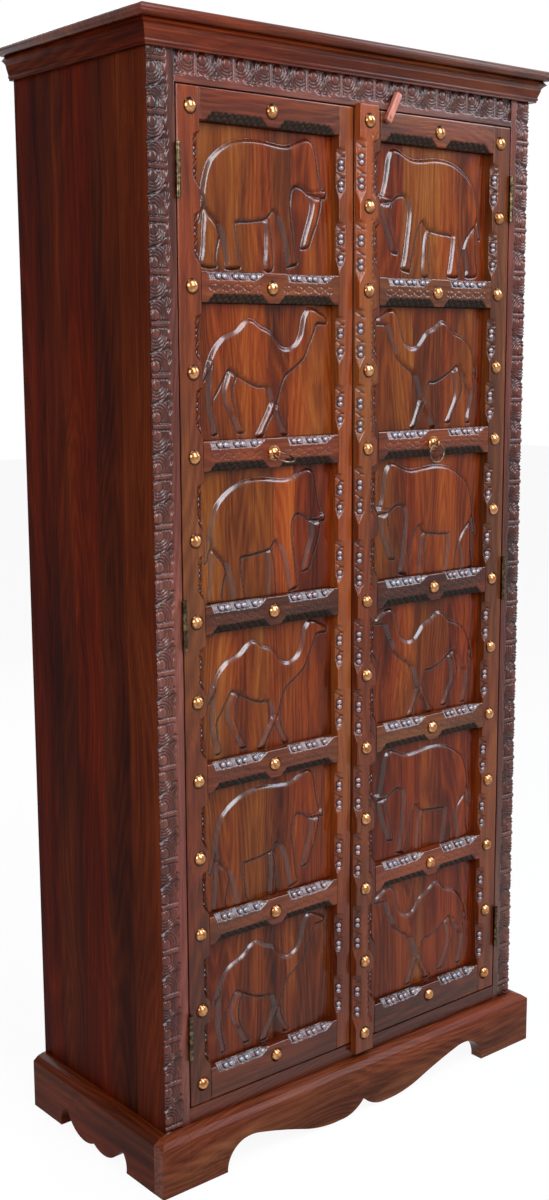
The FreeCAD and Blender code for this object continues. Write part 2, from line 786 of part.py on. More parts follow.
carcass()
face_frame()
cornice()
plinth()
door(-1, "left_door", "left_hinge_stile", "left_meeting_stile")
door(1, "right_door", "right_hinge_stile", "right_meeting_stile")
studs()
astragal()
left_pivot = ring_pull(-1, "left_ring_eye", "left_ring", left_ring_lift)
right_pivot = ring_pull(1, "right_ring_eye", "right_ring", 0)
hinges()
turn_button()
door_bolt()
door_stops()
print("face", face_y, "back", back_y, "rings", left_pivot, right_pivot)
print("pin", pin_x, pin_y, "button", button_x, button_z, "opening", opening_bottom, opening_top)
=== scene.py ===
import math
import bmesh
import bpy
import numpy as np
from mathutils import Matrix, Vector


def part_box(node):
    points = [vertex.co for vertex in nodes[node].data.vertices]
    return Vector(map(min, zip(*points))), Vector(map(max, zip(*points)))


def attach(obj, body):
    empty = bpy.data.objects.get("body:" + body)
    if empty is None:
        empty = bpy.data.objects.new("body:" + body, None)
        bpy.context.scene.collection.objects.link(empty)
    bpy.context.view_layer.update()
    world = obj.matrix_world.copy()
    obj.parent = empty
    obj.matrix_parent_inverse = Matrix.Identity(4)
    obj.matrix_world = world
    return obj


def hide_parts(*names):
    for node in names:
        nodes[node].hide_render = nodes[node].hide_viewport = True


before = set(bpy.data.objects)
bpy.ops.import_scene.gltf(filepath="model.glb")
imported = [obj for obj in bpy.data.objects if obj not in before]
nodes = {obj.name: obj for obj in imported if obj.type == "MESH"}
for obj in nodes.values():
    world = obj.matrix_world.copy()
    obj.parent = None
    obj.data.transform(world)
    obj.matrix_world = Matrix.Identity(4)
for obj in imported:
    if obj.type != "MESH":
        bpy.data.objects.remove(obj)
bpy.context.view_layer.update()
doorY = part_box("left_hinge_stile")[0].y   # front of the doors
print("frame loaded", len(nodes), "nodes")


# camera: fitted to the photograph's corners
camera = {"place": (-1.6565, -1.9485, 1.3274), "turn": 39.624, "tilt": -9.6885, "roll": -0.269,
          "focal": 1474.9, "frameHeight": 1200}


def makeCamera():
    data = bpy.data.cameras.new("camera")
    data.sensor_width = 36.0
    data.lens = camera["focal"] * data.sensor_width / camera["frameHeight"]
    data.clip_start = 0.05
    eye = bpy.data.objects.new("camera", data)
    bpy.context.scene.collection.objects.link(eye)
    turn = Matrix.Rotation(math.radians(-camera["turn"]), 4, "Z")
    tilt = Matrix.Rotation(math.radians(90 + camera["tilt"]), 4, "X")
    roll = Matrix.Rotation(math.radians(camera["roll"]), 4, "Z")
    eye.matrix_world = Matrix.Translation(camera["place"]) @ turn @ tilt @ roll
    bpy.context.scene.camera = eye
    bpy.context.scene.view_settings.view_transform = "Standard"


# shader nodes of one tree
sockets = {"colour": "Base Color", "rough": "Roughness", "specular": "Specular IOR Level", "ior": "IOR",
           "normal": "Normal", "metallic": "Metallic"}


class Nodes:
    def __init__(self, tree):
        self.tree = tree

    def node(self, kind, values=None, **settings):
        made = self.tree.nodes.new(kind)
        for key, value in settings.items():
            setattr(made, key, value)
        for key, value in (values or {}).items():
            if isinstance(value, bpy.types.NodeSocket):
                self.tree.links.new(value, made.inputs[key])
            else:
                made.inputs[key].default_value = value
        return made

    def maths(self, operation, first, second=0.0):
        return self.node("ShaderNodeMath", {0: first, 1: second}, operation=operation).outputs[0]

    def plus(self, first, second):
        return self.maths("ADD", first, second)

    def times(self, first, second):
        return self.maths("MULTIPLY", first, second)

    # a noise that swings about nought, by size in all
    def swing(self, noise, size):
        return self.times(self.maths("SUBTRACT", noise, 0.5), size)


class Finish(Nodes):
    def __init__(self, name):
        self.material = bpy.data.materials.new(name)
        self.material.use_nodes = True
        super().__init__(self.material.node_tree)
        self.shader = self.tree.nodes["Principled BSDF"]

    def vector(self, operation, first, second):
        return self.node("ShaderNodeVectorMath", {0: first, 1: second}, operation=operation).outputs[0]

    def noise(self, vector, scale, detail=3.0, rough=0.55, warp=0.0):
        return self.node("ShaderNodeTexNoise", {"Vector": vector, "Scale": scale, "Detail": detail,
                                                "Roughness": rough, "Distortion": warp}).outputs["Fac"]

    def chance(self, number):
        return self.node("ShaderNodeTexWhiteNoise", {"W": number}, noise_dimensions="1D").outputs["Value"]

    def kept(self, name):
        return self.node("ShaderNodeAttribute", attribute_name=name).outputs["Fac"]

    def stretch(self, vector, scale, place=(0, 0, 0)):
        return self.node("ShaderNodeMapping", {"Vector": vector, "Scale": scale,
                                               "Location": place}).outputs["Vector"]

    def ramp(self, value, stops):
        made = self.node("ShaderNodeValToRGB", {"Fac": value})
        while len(made.color_ramp.elements) < len(stops):
            made.color_ramp.elements.new(0.5)
        for element, (place, colour) in zip(made.color_ramp.elements, stops):
            element.position = place
            element.color = (*colour, 1)
        return made.outputs["Color"]

    def blend(self, share, first, second, mode="MIX"):
        first, second = (value if isinstance(value, bpy.types.NodeSocket) else (*value, 1)
                         for value in (first, second))
        return self.node("ShaderNodeMix", {0: share, 6: first, 7: second}, data_type="RGBA",
                         blend_type=mode).outputs[2]

    def bump(self, height, strength, distance, below=None):
        values = {"Height": height, "Strength": strength, "Distance": distance}
        if below is not None:
            values["Normal"] = below
        return self.node("ShaderNodeBump", values).outputs["Normal"]

    def shade(self, **settings):
        for name, value in settings.items():
            socket = self.shader.inputs[sockets[name]]
            if isinstance(value, bpy.types.NodeSocket):
                self.tree.links.new(value, socket)
            else:
                socket.default_value = value


# stage and light
light = {
    "floorColour": (0.88, 0.88, 0.88), "floorGlow": 0.93, "worldFill": 0.20, "worldTint": (0.92, 0.95, 1.0),
    "lamps": {  # place, aim, width, height, watts, colour
        "keySoftbox": ((-0.35, -2.42, 2.42), (-0.1, -0.1, 1.15), 1.2, 1.5, 62, (0.86, 0.92, 1.0)),
        "topSoftbox": ((-0.28, -1.85, 3.6), (-0.1, -0.1, 1.3), 1.4, 1.1, 44, (0.90, 0.93, 1.0)),
        "blueWindow": ((2.15, -1.5, 3.0), (0.08, -0.1, 1.1), 1.25, 1.8, 52, (0.76, 0.84, 1.0)),
        "leftWindow": ((-3.0, -1.1, 2.1), (-0.4, 0.0, 1.0), 1.0, 1.6, 50, (1.0, 0.96, 0.92)),
        "backWindow": ((0.7, 3.0, 2.4), (0.0, 0.1, 1.0), 1.8, 1.5, 60, (1.0, 1.0, 1.0)),
    },
}


def makeFloor():
    bm = bmesh.new()
    bmesh.ops.create_grid(bm, x_segments=1, y_segments=1, size=14)
    mesh = bpy.data.meshes.new("floor")
    bm.to_mesh(mesh)
    bm.free()
    floor = bpy.data.objects.new("floor", mesh)
    bpy.context.scene.collection.objects.link(floor)
    pale = Finish("paleFloor")
    pale.shade(colour=(*light["floorColour"], 1), rough=0.9, specular=0.1)
    rays = pale.node("ShaderNodeLightPath").outputs
    seen = pale.maths("MAXIMUM", rays["Is Camera Ray"], rays["Is Glossy Ray"])
    glow = pale.node("ShaderNodeEmission", {"Strength": 1.0})
    mix = pale.node("ShaderNodeMixShader", {0: pale.times(seen, light["floorGlow"]),
                                            1: pale.shader.outputs[0], 2: glow.outputs[0]})
    pale.tree.links.new(mix.outputs[0], pale.tree.nodes["Material Output"].inputs["Surface"])
    mesh.materials.append(pale.material)


# a dim tinted world that looks white to the camera and in reflections
def makeWorld():
    world = bpy.data.worlds.new("studio")
    bpy.context.scene.world = world
    world.use_nodes = True
    world.node_tree.nodes.clear()
    sky = Nodes(world.node_tree)
    rays = sky.node("ShaderNodeLightPath").outputs
    mirrored = sky.maths("MAXIMUM", rays["Is Glossy Ray"], rays["Is Transmission Ray"])
    seen = sky.maths("MAXIMUM", rays["Is Camera Ray"], mirrored)
    fill = sky.node("ShaderNodeBackground", {"Color": (*light["worldTint"], 1),
                                             "Strength": light["worldFill"]})
    bright = sky.node("ShaderNodeBackground", {"Color": (1, 1, 1, 1)})
    mix = sky.node("ShaderNodeMixShader", {0: seen, 1: fill.outputs[0], 2: bright.outputs[0]})
    sky.node("ShaderNodeOutputWorld", {"Surface": mix.outputs[0]})


def makeLamps():
    for name, (place, aim, width, height, watts, colour) in light["lamps"].items():
        lamp = bpy.data.lights.new(name, "AREA")
        lamp.shape = "RECTANGLE"
        lamp.size, lamp.size_y = width, height
        lamp.energy = watts
        lamp.color = colour
        holder = bpy.data.objects.new(name, lamp)
        holder.location = place
        holder.rotation_euler = (Vector(aim) - Vector(place)).to_track_quat("-Z", "Y").to_euler()
        bpy.context.scene.collection.objects.link(holder)


# wood
white = (1, 1, 1)
wood = {
    # noises: scale across the grain, scale along it, shift, detail, roughness, warp
    "streak": (70, 3.2, 3.0, 4.0, 0.6, 0.4), "fibre": (420, 9.0, 7.0, 3.0, 0.6),
    "pores": (900, 26.0, 11.0, 2.0, 0.5), "patch": (5.0, 2.4, 17.0, 2.0, 0.5),
    "hue": (9.0, 1.3, 29.0, 1.0, 0.5),
    # these two are scaled by a finish's own bands
    "broad": (1.0, 1.0, 0.0, 2.0, 0.5), "figure": (0.55, 0.8, 41.0, 1.0, 0.4),
    "sway": 2.2, "push": 0.05, "jump": (9.0, 40.0),   # jump of the grain from board to board
    "broadShare": 0.42, "streakShare": 0.32, "fibreShare": 0.24, "darker": 0.025,
    "arcs": 95.0, "arcFray": 0.02, "arcPower": 2.5, "arcShare": 0.07,
    "boardSeeds": (0.5, 40.5), "boardHues": (0.55, 0.45),
    "tones": (0.28, 0.42, 0.55, 0.72),
    "hues": [(0.36, (1.04, 0.84, 0.82)), (0.5, white), (0.66, (0.86, 1.12, 1.2))],
    "knot": [(0.4, (0.12, 0.1, 0.1)), (1.0, white)], "knotFray": 0.5,
    "pore": [(0.30, (0.45, 0.4, 0.4)), (0.42, white)], "poreShare": 0.55,
    # painted shade: the colour that hollowShade darkens the wood towards
    "hollowShade": (0.10, 0.08, 0.09), "hollowGloss": 0.2, "streakGloss": 0.16,
    "fibreBump": (0.25, 0.0006), "poreBump": (0.18, 0.0004),
}


# colours run from the darkest streak to the lightest; boards: axis, width, offset and depth of tone
def woodFinish(name, colours, along="Z", boards=None, gloss=0.22, specular=0.32, seed=0.0,
               bands=(14.0, 1.1), shadedHollows=False, ior=1.5, patches=0.22, marked=False, knots=()):
    finish = Finish(name)
    place = finish.node("ShaderNodeTexCoord").outputs["Object"]
    sway = finish.noise(finish.stretch(place, (wood["sway"],) * 3, (seed, 0, 0)), 1.0, 2.0)
    swayed = finish.vector("ADD", place, finish.vector("MULTIPLY", sway, (wood["push"],) * 3))
    if marked:   # the joined boards of a panel, kept on its mesh
        markTone, markHue = finish.kept("boardTone"), finish.kept("boardHue")
        jump = finish.node("ShaderNodeCombineXYZ", {"X": finish.times(markHue, wood["jump"][0]),
                                                    "Z": finish.times(markTone, wood["jump"][1])})
        swayed = finish.vector("ADD", swayed, jump.outputs[0])

    def grain(across, lengthwise, shift, *look):
        scale = {"Z": (across, across, lengthwise), "X": (lengthwise, across, across),
                 "Y": (across, lengthwise, across)}[along]
        return finish.noise(finish.stretch(swayed, scale, (seed + shift, seed, shift)), 1.0, *look)

    def bandGrain(across, lengthwise, *look):
        return grain(bands[0] * across, bands[1] * lengthwise, *look)

    streak, fibre, pores = grain(*wood["streak"]), grain(*wood["fibre"]), grain(*wood["pores"])
    arcs = finish.plus(bandGrain(*wood["figure"]), finish.times(fibre, wood["arcFray"]))
    arcs = finish.maths("ABSOLUTE", finish.maths("SINE", finish.times(arcs, wood["arcs"])))
    arcs = finish.times(finish.maths("POWER", arcs, wood["arcPower"]), wood["arcShare"])
    tone = finish.plus(finish.times(bandGrain(*wood["broad"]), wood["broadShare"]),
                       finish.times(streak, wood["streakShare"]))
    tone = finish.plus(tone, finish.times(fibre, wood["fibreShare"]))
    tone = finish.plus(finish.maths("SUBTRACT", tone, wood["darker"]), arcs)
    tone = finish.plus(tone, finish.swing(grain(*wood["patch"]), patches))
    hue = grain(*wood["hue"])
    if boards:
        axis, width, offset, depth = boards
        split = finish.node("ShaderNodeSeparateXYZ", {"Vector": place}).outputs[axis]
        number = finish.maths("FLOOR", finish.maths("DIVIDE", finish.plus(split, offset), width))
        chances = [finish.chance(finish.plus(number, seed + more)) for more in wood["boardSeeds"]]
        tone = finish.plus(tone, finish.swing(chances[0], depth))
        hue = finish.plus(finish.times(hue, wood["boardHues"][0]),
                          finish.times(chances[1], wood["boardHues"][1]))
    if marked:
        tone = finish.plus(tone, markTone)
        hue = finish.plus(hue, markHue)
    colour = finish.ramp(tone, list(zip(wood["tones"], colours)))
    colour = finish.blend(1.0, colour, finish.ramp(hue, wood["hues"]), "MULTIPLY")
    for spot, size in knots:
        away = finish.node("ShaderNodeVectorMath", {0: place, 1: spot}, operation="DISTANCE").outputs["Value"]
        away = finish.plus(away, finish.times(fibre, size * wood["knotFray"]))
        knot = finish.ramp(finish.maths("DIVIDE", away, size), wood["knot"])
        colour = finish.blend(1.0, colour, knot, "MULTIPLY")
    colour = finish.blend(wood["poreShare"], colour, finish.ramp(pores, wood["pore"]), "MULTIPLY")
    # painted shade: meshes that keep hollowShade get a darker, rougher colour there
    if shadedHollows or marked:
        hollowShade = finish.kept("hollowShade")
        colour = finish.blend(1.0, colour, finish.blend(hollowShade, white, wood["hollowShade"]), "MULTIPLY")
        gloss = finish.plus(finish.times(hollowShade, wood["hollowGloss"]), gloss)
    normal = finish.bump(fibre, *wood["fibreBump"])
    finish.shade(colour=colour, rough=finish.plus(gloss, finish.swing(streak, wood["streakGloss"])),
                 normal=finish.bump(pores, *wood["poreBump"], normal), specular=specular, ior=ior)
    return finish.material


# metal: colours run from the darkest blotch to the lightest
metal = {"blotch": 140.0, "fine": 900.0, "tones": (0.32, 0.5, 0.7), "rim": (0.035, 0.014, 0.007),
         "uneven": 0.14, "blotchBump": 0.0010, "fineBump": 0.0002}


def metalFinish(name, colours, roughness, bumps, shadedRims=False):
    finish = Finish(name)
    place = finish.node("ShaderNodeTexCoord").outputs["Object"]
    blotch = finish.noise(place, metal["blotch"], 3.0)
    fine = finish.noise(place, metal["fine"], 2.0)
    colour = finish.ramp(blotch, list(zip(metal["tones"], colours)))
    # patina and painted shade: the low rim of a dome is blended towards this dark colour, standing in for the
    # dark surroundings it would reflect
    if shadedRims:
        colour = finish.blend(finish.kept("hollowShade"), colour, metal["rim"])
    normal = finish.bump(blotch, bumps, metal["blotchBump"])
    finish.shade(colour=colour, rough=finish.plus(roughness, finish.times(blotch, metal["uneven"])),
                 normal=finish.bump(fine, bumps * 0.5, metal["fineBump"], normal), metallic=1.0)
    return finish.material


darkRow = [(0.014, 0.0022, 0.001), (0.042, 0.0065, 0.002), (0.088, 0.015, 0.004), (0.16, 0.032, 0.008)]
doorRow = [(0.018, 0.003, 0.0014), (0.057, 0.0092, 0.0022), (0.122, 0.0235, 0.0045), (0.205, 0.050, 0.009)]
panelRow = [(0.022, 0.0035, 0.0012), (0.080, 0.0115, 0.0022), (0.165, 0.030, 0.0045), (0.27, 0.074, 0.012)]
bevelSheenRow = [(0.016, 0.0025, 0.0009), (0.055, 0.008, 0.0016), (0.115, 0.020, 0.0035), (0.19, 0.050, 0.010)]
corniceRow = [(0.012, 0.0016, 0.0007), (0.040, 0.0055, 0.0018), (0.085, 0.013, 0.003), (0.15, 0.027, 0.007)]
sideRow = [(0.010, 0.0010, 0.0004), (0.033, 0.0034, 0.0010), (0.070, 0.0080, 0.0016), (0.13, 0.019, 0.004)]
beadSheenRow = [(0.075, 0.045, 0.05), (0.12, 0.08, 0.09), (0.18, 0.13, 0.15), (0.26, 0.20, 0.23)]
frameRow = [(0.018, 0.004, 0.0025), (0.055, 0.012, 0.007), (0.115, 0.029, 0.018), (0.20, 0.062, 0.042)]
plinthRow = [(0.020, 0.004, 0.0016), (0.065, 0.012, 0.004), (0.135, 0.030, 0.010), (0.23, 0.068, 0.026)]
underShadeRow = [(0.004, 0.002, 0.001), (0.009, 0.005, 0.002), (0.016, 0.009, 0.005), (0.03, 0.018, 0.009)]
innerRow = [(0.045, 0.013, 0.005), (0.085, 0.026, 0.009), (0.14, 0.046, 0.016), (0.20, 0.072, 0.026)]
studRow = [(0.20, 0.075, 0.03), (0.42, 0.18, 0.07), (0.66, 0.36, 0.17)]
buttonSheenRow = [(0.10, 0.03, 0.02), (0.2, 0.07, 0.045), (0.34, 0.13, 0.09), (0.48, 0.2, 0.15)]
ringRow = [(0.05, 0.034, 0.026), (0.13, 0.085, 0.06), (0.30, 0.20, 0.14)]
hingeRow = [(0.020, 0.014, 0.008), (0.06, 0.042, 0.024), (0.18, 0.135, 0.075)]
steelRow = [(0.28, 0.27, 0.25), (0.42, 0.41, 0.39), (0.55, 0.54, 0.52)]

finishes = {
    "level": woodFinish("darkWoodLevel", darkRow, "X", seed=4.1),
    "deep": woodFinish("darkWoodDeep", corniceRow, "Y", seed=5.7, specular=0.3, ior=1.1),
    "moulding": woodFinish("mouldingWood", darkRow, "X", seed=4.9, specular=0.5, ior=1.28),
    "carved": woodFinish("carvedFrame", frameRow, seed=2.2, gloss=0.15, specular=0.34, shadedHollows=True),
    "carvedLevel": woodFinish("carvedFrameLevel", frameRow, "X", seed=2.9, gloss=0.15, specular=0.34,
                              shadedHollows=True),
    "door": woodFinish("doorWoodUpright", doorRow, seed=3.3, gloss=0.2, specular=0.3, patches=0.42,
                       marked=True),
    "doorLevel": woodFinish("doorWoodLevel", doorRow, "X", seed=7.1, gloss=0.2, specular=0.3, patches=0.42,
                            marked=True),
    # painted sheen: chamfers that face up get a copy with more specular; faces that face right get a duller
    # copy
    "railChamfer": woodFinish("doorWoodSheenUp", doorRow, "X", seed=7.1, gloss=0.16, specular=0.62,
                              marked=True),
    "farChamfer": woodFinish("doorWoodChamfers", doorRow, seed=3.3, gloss=0.35, specular=0.25, ior=1.15,
                             marked=True),
    # painted sheen: the beads get a pale lavender colour as well as their strong specular
    "bead": woodFinish("beadsPaintedSheen", beadSheenRow, seed=1.9, gloss=0.14, specular=1.0, ior=1.6),
    "plinth": woodFinish("plinthWood", plinthRow, "X", seed=5.2, bands=(16.0, 2.4), patches=0.3,
                         specular=0.4, ior=1.2),
    "plinthSide": woodFinish("plinthSideWood", darkRow, "Y", seed=6.1, specular=0.3, ior=1.13),
    # painted shade for the chamfers that face down
    "underShade": woodFinish("underShade", underShadeRow, "X", seed=7.7, gloss=0.5, specular=0.12),
    "panel": woodFinish("carvedPanel", panelRow, seed=6.4, bands=(20.0, 1.5), gloss=0.2, specular=0.17,
                        marked=True),
    # painted sheen: bevels that face up and left, towards the lamps, get a darker copy with more specular
    "panelSheenEdge": woodFinish("carvedPanelSheenEdges", bevelSheenRow, seed=6.4, bands=(20.0, 1.5), gloss=0.15,
                            specular=0.62, marked=True),
    "side": woodFinish("sideBoards", sideRow, boards=(1, 0.074, 0.01, 0.17), seed=8.8, bands=(18.0, 0.9),
                       gloss=0.4, specular=0.25, ior=1.1, patches=0.3,
                       knots=(((-0.425, 0.154, 1.591), 0.011), ((-0.425, 0.128, 1.47), 0.006))),
    "inner": woodFinish("innerWood", innerRow, "X", seed=9.9, gloss=0.45, specular=0.3, ior=1.2),
    # painted sheen: the button's lighter, pinkish colour stands in for the lamp reflected on its face
    "button": woodFinish("buttonWoodSheen", buttonSheenRow, seed=0.7, gloss=0.2, specular=0.4),
    "stud": metalFinish("coppery", studRow, 0.08, 0.2, shadedRims=True),
    "ring": metalFinish("agedBrass", ringRow, 0.24, 0.3),
    "hinge": metalFinish("hingeBrass", hingeRow, 0.2, 0.2),
    "steel": metalFinish("fittingSteel", steelRow, 0.3, 0.2),
}
nodeFinish = {
    "button": "turn_button",
    "level": "face_rail_bottom",
    "plinth": "plinth_front plinth_corner_blocks",
    "plinthSide": "plinth_left plinth_right",
    "moulding": "top_board cornice_front",
    "deep": "cornice_left cornice_right",
    "side": "side_panel_left side_panel_right back_boards",
    "inner": "bottom_board hat_shelf shoe_shelf shelf_cleats hanging_rail rail_brackets plinth_back "
             "foot_blocks door_stops",
    "stud": "left_ring_eye right_ring_eye button_screw",
    "ring": "left_ring right_ring",
    "hinge": "frame_hinge_leaves left_hinge_leaves right_hinge_leaves hinge_pins",
    "steel": "bolt_keeper bolt_plate door_bolt latch_spindle latch_tongue button_washer",
}
softEdges = {"segments": 2, "angle": 25, "width": {
    "plinth": 0.0006, "plinthSide": 0.0008, "moulding": 0.0011, "button": 0.0012, "level": 0.0011,
    "deep": 0.0011, "side": 0.0010, "inner": 0.0012}}
same = 0.00002   # points of a mesh that are closer than this are one


def soften(target, width):
    weld = target.modifiers.new("weld", "WELD")
    weld.merge_threshold = same
    bevel = target.modifiers.new("softEdges", "BEVEL")
    bevel.width = width
    bevel.segments = softEdges["segments"]
    bevel.limit_method = "ANGLE"
    bevel.angle_limit = math.radians(softEdges["angle"])


def finishNodes():
    for key, names in nodeFinish.items():
        for name in names.split():
            nodes[name].data.materials.clear()
            nodes[name].data.materials.append(finishes[key])
            if key in softEdges["width"]:
                soften(nodes[name], softEdges["width"][key])
    print("nodes finished")


# meshes
nearFront = 1e-5          # how close to a face its points are, in metres
jointWave = (0.004, 60)   # share of the width by which a joint sways, and how often


def meshOf(bm, name):
    mesh = bpy.data.meshes.new(name)
    bm.to_mesh(mesh)
    bm.free()
    return mesh


def pointsOf(mesh):
    places = np.zeros(len(mesh.vertices) * 3)
    mesh.vertices.foreach_get("co", places)
    return places.reshape(-1, 3)


# keeps one number for each point, which the finishes read
def keep(mesh, name, values):
    store = mesh.attributes.new(name, "FLOAT", "POINT")
    store.data.foreach_set("value", np.asarray(values, np.float32))


# gives the faces that pass the test another finish
def refinish(mesh, key, test):
    mesh.materials.append(finishes[key])
    number = len(mesh.materials) - 1
    for face in mesh.polygons:
        if test(face):
            face.material_index = number


def titled(node):
    return node.replace("_", " ").title().replace(" ", "")


def linked(name, mesh, body, material):
    mesh.materials.append(material)
    made = bpy.data.objects.new(name, mesh)
    bpy.context.scene.collection.objects.link(made)
    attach(made, body)
    return made


# joins meshes of one node into one piece
def gather(name, meshes, body, key, node):
    whole = bmesh.new()
    for mesh in meshes:
        whole.from_mesh(mesh)
        bpy.data.meshes.remove(mesh)
    made = linked(name, meshOf(whole, name), body, finishes[key])
    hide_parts(node)
    return made.data


# a board between two corners in metres, with a fine grid for its front
def boardMesh(low, high, step):
    bm = bmesh.new()
    wide, tall = high[0] - low[0], high[2] - low[2]
    stand = Matrix.Rotation(math.radians(90), 4, "X")
    bmesh.ops.create_grid(bm, x_segments=max(2, round(wide / step)), y_segments=max(2, round(tall / step)),
                          size=0.5, matrix=stand)
    spread = max(vert.co.x for vert in bm.verts) * 2
    bmesh.ops.scale(bm, vec=(wide / spread, 1, tall / spread), verts=bm.verts)
    bmesh.ops.translate(bm, vec=((low[0] + high[0]) / 2, low[1], (low[2] + high[2]) / 2), verts=bm.verts)
    for face in bm.faces:
        face.smooth = True
    rim = [edge for edge in bm.edges if edge.is_boundary]
    walls = bmesh.ops.extrude_edge_only(bm, edges=rim)["geom"]
    for part in walls:
        if isinstance(part, bmesh.types.BMVert):
            part.co.y = high[1]
    backRim = [part for part in walls if isinstance(part, bmesh.types.BMEdge) and part.is_boundary]
    bmesh.ops.edgeloop_fill(bm, edges=backRim)
    bmesh.ops.recalc_face_normals(bm, faces=bm.faces)
    for face in bm.faces:
        if len(face.verts) > 4 or abs(face.normal.y) < 0.5:
            face.smooth = False
    return meshOf(bm, "board")


# a board whose front is moved by shape(x, z), in mm towards the viewer, and which keeps the shade that shape
# paints on it
def carvedBoard(low, high, step, shape):
    mesh = boardMesh(low, high, step)
    places = pointsOf(mesh)
    facing = np.abs(places[:, 1] - low[1]) < nearFront
    rise, hollowShade = shape(places[facing, 0] * 1000, places[facing, 2] * 1000)
    places[facing, 1] = low[1] - rise / 1000
    # shade painted on the front points only; the back and walls get none
    depth = np.zeros(len(places))
    depth[facing] = hollowShade
    mesh.vertices.foreach_set("co", places.ravel())
    keep(mesh, "hollowShade", depth)
    mesh.update()
    return mesh


# marks the joined boards of a mesh; the back is one face, so it has the tone of the first
def markBoards(mesh, left, right, boards):
    places = pointsOf(mesh)
    share = (places[:, 0] - left) / (right - left) + jointWave[0] * np.sin(places[:, 2] * jointWave[1])
    for index, name in ((1, "boardTone"), (2, "boardHue")):
        value = np.full(len(share), boards[-1][index])
        for board in reversed(boards[:-1]):
            value[share < board[0]] = board[index]
        value[places[:, 1] > places[:, 1].max() - nearFront] = boards[0][index]
        keep(mesh, name, value)


def clipped(value):
    return np.clip(value, 0, 1)


def fade(value, start, width):
    return clipped((value - start) / width)


def bell(value, place, width):
    return np.exp(-((value - place) / width) ** 2)


def within(value, low, high):
    return (value > low) & (value < high)


# a smooth closed line through the points
def rounded(points, cuts=4):
    points = np.array(points, float)
    line = []
    count = len(points)
    for i in range(count):
        a, b, c, d = (points[(i + k) % count] for k in (-1, 0, 1, 2))
        for cut in range(cuts):
            t = cut / cuts
            line.append(0.5 * (2 * b + (c - a) * t + (2 * a - 5 * b + 4 * c - d) * t * t
                               + (3 * b - a - 3 * c + d) * t * t * t))
    return np.array(line)


# distance from a closed line, positive inside it, and how far its nearest edge faces right and down
def depthInside(places, line):
    nearest = np.full(len(places), 1e9)
    away = np.zeros((len(places), 2))
    inside = np.zeros(len(places), bool)
    for start, end in zip(line, np.roll(line, -1, axis=0)):
        edge = end - start
        offset = places - start
        share = clipped(offset @ edge / max(edge @ edge, 1e-9))
        gap = offset - share[:, None] * edge
        reach = (gap ** 2).sum(1)
        closer = reach < nearest
        nearest[closer] = reach[closer]
        away[closer] = gap[closer]
        if start[1] != end[1]:
            between = (start[1] > places[:, 1]) != (end[1] > places[:, 1])
            inside ^= between & (places[:, 0] < start[0] + offset[:, 1] / edge[1] * edge[0])
    sign = np.where(inside, 1, -1)
    away = -sign[:, None] * away / np.maximum(np.sqrt(nearest), 1e-6)[:, None]
    return sign * np.sqrt(nearest), away


# figures in mm from a panel's top left corner, z counted down, for a panel 274 by 206: height, outline
elephant = {
    "body": (3.6, [(12, 105), (15, 85), (21, 65), (28, 52), (36, 44), (46, 36), (60, 28), (75, 22),
        (90, 18.5), (110, 16.5), (128, 17), (145, 19), (160, 20.5), (175, 21), (188, 18), (200, 13),
        (210, 9), (222, 7), (233, 13), (239, 26), (242, 45), (246, 65), (251, 80), (252, 89), (240, 91),
        (224, 91), (213, 85), (204, 82), (197, 82), (191, 87), (188, 96), (187, 108), (188, 122),
        (191, 142), (194, 162), (198, 184), (201, 199), (184, 204), (180, 203), (176, 183), (171, 162),
        (164, 140), (153, 121), (146, 126), (140, 132), (133, 135), (105, 139), (80, 141), (78, 144),
        (79, 160), (82, 178), (85, 196), (86, 209), (60, 210), (58, 198), (54, 178), (48, 158), (40, 143),
        (28, 131), (18, 122)]),
    "tail": (2.6, [(18, 116), (13, 104), (9, 122), (4, 142), (9, 143), (13, 130)]),
    "farHindLeg": (2.4, [(19, 124), (30, 133), (42, 145), (48, 160), (46, 168), (42, 182), (40, 198),
        (40, 209), (11, 206), (13, 180), (15, 150)]),
    "farForeLeg": (2.2, [(133, 136), (143, 136), (149, 155), (151, 180), (151, 209), (134, 209),
        (135, 180), (135, 155)]),
    "tusk": (4.6, [(220, 89), (240, 84.5), (257, 81.5), (260, 95), (245, 94.5), (228, 93)]),
    "trunk": (3.4, [(225, 93), (238, 95), (250, 96), (248, 115), (241, 137), (233, 154), (226, 171),
        (217, 175), (208, 173), (214, 152), (221, 133), (226, 118), (228, 105)]),
}
